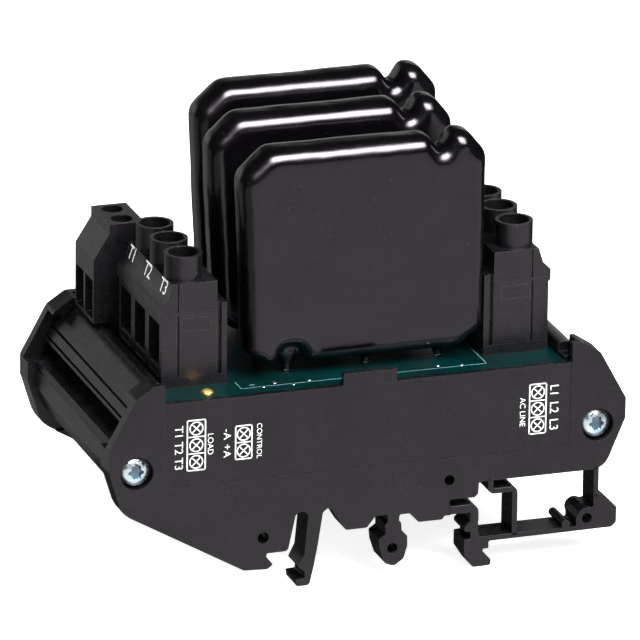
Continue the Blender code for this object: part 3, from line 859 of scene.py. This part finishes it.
def entry_sills(plastic):
    """Raised floors just inside the power terminals' wire entries, sloping down to the mouth."""
    form = bmesh.new()
    half, foot = 2.75, 1.3
    section = ((33.45, foot), (33.45, 3.0), (33.1, 3.15), (31.35, 3.25), (31.35, foot))
    for prefix, side in POWER_BLOCKS:
        for screw in named(f"{prefix}_terminal_screw"):
            low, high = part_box(screw)
            middle = (low.y + high.y) / 2
            ends = []
            for y in (middle - half * MM, middle + half * MM):
                corners = [(side * x * MM, y, BOARD_HIGH.z + z * MM) for x, z in section]
                ends.append([form.verts.new(corner) for corner in corners])
            join_rings(form, ends)
    finish_form(form, "entry_sills", "carrier", plastic, smooth=False)


# ---------------------------------------------------------------- stage, light and camera

def glowing(name, strength, soft=False):
    """White lit surface for the stage; a soft one fades towards its edges."""
    fade_width, steepness = 0.36, 1.8
    material = bpy.data.materials.new(name)
    material.use_nodes = True
    tree = material.node_tree
    surface = tree.nodes["Principled BSDF"]
    surface.inputs["Base Color"].default_value = BLACK
    surface.inputs["Emission Color"].default_value = WHITE
    surface.inputs["Emission Strength"].default_value = strength
    if soft:
        place = tree.nodes.new("ShaderNodeUVMap")
        split = tree.nodes.new("ShaderNodeSeparateXYZ")
        tree.links.new(place.outputs["UV"], split.inputs["Vector"])
        fades = []
        for axis in ("X", "Y"):
            fade = tree.nodes.new("ShaderNodeMapRange")
            fade.interpolation_type = "SMOOTHSTEP"
            fade.inputs["From Max"].default_value = fade_width
            from_edge = calculate(tree, "PINGPONG", split.outputs[axis], 0.5)
            tree.links.new(from_edge, fade.inputs["Value"])
            fades.append(fade.outputs["Result"])
        both = calculate(tree, "MULTIPLY", *fades)
        steep = calculate(tree, "POWER", both, steepness)
        level = calculate(tree, "MULTIPLY", steep, strength)
        tree.links.new(level, surface.inputs["Emission Strength"])
    return material


def reflector(name, strength, corners, soft=False):
    """White card that only reflections see."""
    mesh = bpy.data.meshes.new(name)
    form = bmesh.new()
    face = form.faces.new([form.verts.new(Vector(corner) * MM) for corner in corners])
    layer = form.loops.layers.uv.new("card")
    for loop, place in zip(face.loops, ((0, 0), (1, 0), (1, 1), (0, 1))):
        loop[layer].uv = place
    form.to_mesh(mesh)
    form.free()
    mesh.materials.append(glowing(name, strength, soft))
    card = in_scene(name, mesh)
    hide_from(card, "camera", "diffuse", "transmission", "shadow")
    return card


def stage():
    """Floor, white backdrop and the cards that the black plastics reflect."""
    floor = bpy.data.meshes.new("studio_floor")
    form = bmesh.new()
    bmesh.ops.create_circle(form, cap_ends=True, segments=96, radius=3.9)
    bmesh.ops.translate(form, verts=form.verts, vec=(0.0, 0.0, CAD_BOX[0].z - 0.02 * MM))
    form.to_mesh(floor)
    form.free()
    ground = in_scene("studio_floor", floor)
    floor.materials.append(paper_floor())
    hide_from(ground, "glossy")

    shell = bpy.data.meshes.new("studio_backdrop")
    form = bmesh.new()
    bmesh.ops.create_uvsphere(form, u_segments=48, v_segments=24, radius=4.0)
    form.to_mesh(shell)
    form.free()
    backdrop = in_scene("studio_backdrop", shell)
    shell.materials.append(glowing("studio_backdrop", 1.0))
    hide_from(backdrop, "diffuse", "glossy", "transmission", "shadow")

    table = reflector("table_reflection", 0.86, (
        (-560, -1300, -10), (1100, -1300, -10), (260, -28, -10), (-68, -28, -10),
    ))
    left = reflector("left_reflection", 0.36, (
        (-900, -1000, -10), (-562, -1300, -10), (-70, -28, -10), (-190, -28, -10),
    ))
    wall = reflector("wall_reflection", 0.6, (
        (-900, 1100, -60), (900, 1100, -60), (900, 1100, 400), (-900, 1100, 400),
    ))
    overhead = reflector("overhead_reflection", 34.0, (
        (-380, -640, 300), (560, -490, 300), (460, -90, 680), (-480, -230, 680),
    ), soft=True)
    behind = reflector("back_table_reflection", 0.26, (
        (-700, 34, -10), (-42, 34, -10), (-42, 1100, -10), (-700, 1100, -10),
    ))


def softbox(name, place, target, size, power):
    """Area light aimed at a point, hidden from camera and reflections; millimetres and watts."""
    light = bpy.data.lights.new(name, "AREA")
    light.shape = "RECTANGLE"
    light.size, light.size_y = size[0] * MM, size[1] * MM
    light.energy = power
    lamp = in_scene(name, light)
    lamp.location = Vector(place) * MM
    aim = (Vector(target) - Vector(place)).normalized()
    lamp.rotation_mode = "QUATERNION"
    lamp.rotation_quaternion = aim.to_track_quat("-Z", "Y")
    hide_from(lamp, "camera", "glossy")


def lights():
    """Weak diffuse light; the reflection cards give the plastics most of their brightness."""
    middle = (0.0, 0.0, 30.0)
    softbox("overhead_softbox", (208, -340, 560), middle, (420, 520), 9.0)
    softbox("left_softbox", (-620, 420, 200), middle, (300, 260), 3.0)
    world = bpy.data.worlds.new("studio")
    world.use_nodes = True
    background = world.node_tree.nodes["Background"]
    background.inputs["Color"].default_value = WHITE
    background.inputs["Strength"].default_value = 0.03
    bpy.context.scene.world = world
    bpy.context.scene.view_settings.view_transform = "Standard"


def camera():
    """Long lens, 19 degrees left of the front and looking 20 degrees down, as in the photo."""
    data = bpy.data.cameras.new("camera")
    data.lens = 506.26
    data.sensor_width = 36.0
    data.clip_start, data.clip_end = 0.05, 20.0
    holder = in_scene("camera", data)
    yaw, pitch, roll = (math.radians(a) for a in (18.985, 19.66, 0.78))
    ahead = math.cos(pitch)
    forward = Vector((math.sin(yaw) * ahead, math.cos(yaw) * ahead, -math.sin(pitch)))
    level = forward.cross(Vector((0, 0, 1))).normalized()
    upright = level.cross(forward)
    right = level * math.cos(roll) + upright * math.sin(roll)
    up = upright * math.cos(roll) - level * math.sin(roll)
    holder.matrix_world = Matrix((right, up, -forward)).transposed().to_4x4()
    holder.location = Vector((-458.4, -1331.4, 533.5)) * MM
    bpy.context.scene.camera = holder


# ---------------------------------------------------------------- assembly

def dress_nodes():
    """Materials, softened edges and replacements for the frame's nodes."""
    carrier, terminal = carrier_plastic(), terminal_plastic()
    carried = ["housing_profile", *named("side_plate"), *named("rail_latch"), *named("_latch_")]
    paint(carrier, *carried)
    for name in carried:
        soften(name, 0.14 if "_latch_" in name else 0.2)
    paint(terminal, *named("terminal_housing"))
    for name in named("terminal_housing"):
        soften(name, 0.26, 3)
    coat = dip_coat()
    paint(coat, *named("power_module"))
    for word in ("front", "middle", "rear"):
        dipped_module(word, coat)
    mask = solder_mask()
    paint(mask, "circuit_board")
    paint(ceramic(), *named("module_substrate"))
    paint(tin(), *named("module_lead"))
    steel = clamp_steel()
    paint(steel, *named("clamp_cage"), *named("contact"))
    # The second zinc is painted darker as shade, for the screws' recesses
    plated, shadowed = zinc(), painted_shade_zinc()
    paint(plated, *named("plate_screw"))
    for name in named("plate_screw"):
        pan_screw(name, plated, shadowed)
    spring_webs(carrier)
    paint(nickel(), *named("terminal_screw"))
    for name in named("terminal_screw"):
        soften(name, 0.08)
    for name in named("clamp_cage") + named("contact"):
        soften(name, 0.1)
    return terminal, mask


terminal_material, mask_material = dress_nodes()
label_ink = white_ink("label_ink", (0.90, 0.90, 0.90))
label_print(label_ink)
pole_numbers(label_ink)
board_print(white_ink("silk_screen_ink", (0.22, 0.46, 0.44)))
board_copper(mask_material)
solder_material = solder()
solder_joints(solder_material)
board_vias(solder_material)
gold_pad(gold())
housing_mouldings(terminal_material)
entry_sills(terminal_material)
stage()
lights()
camera()
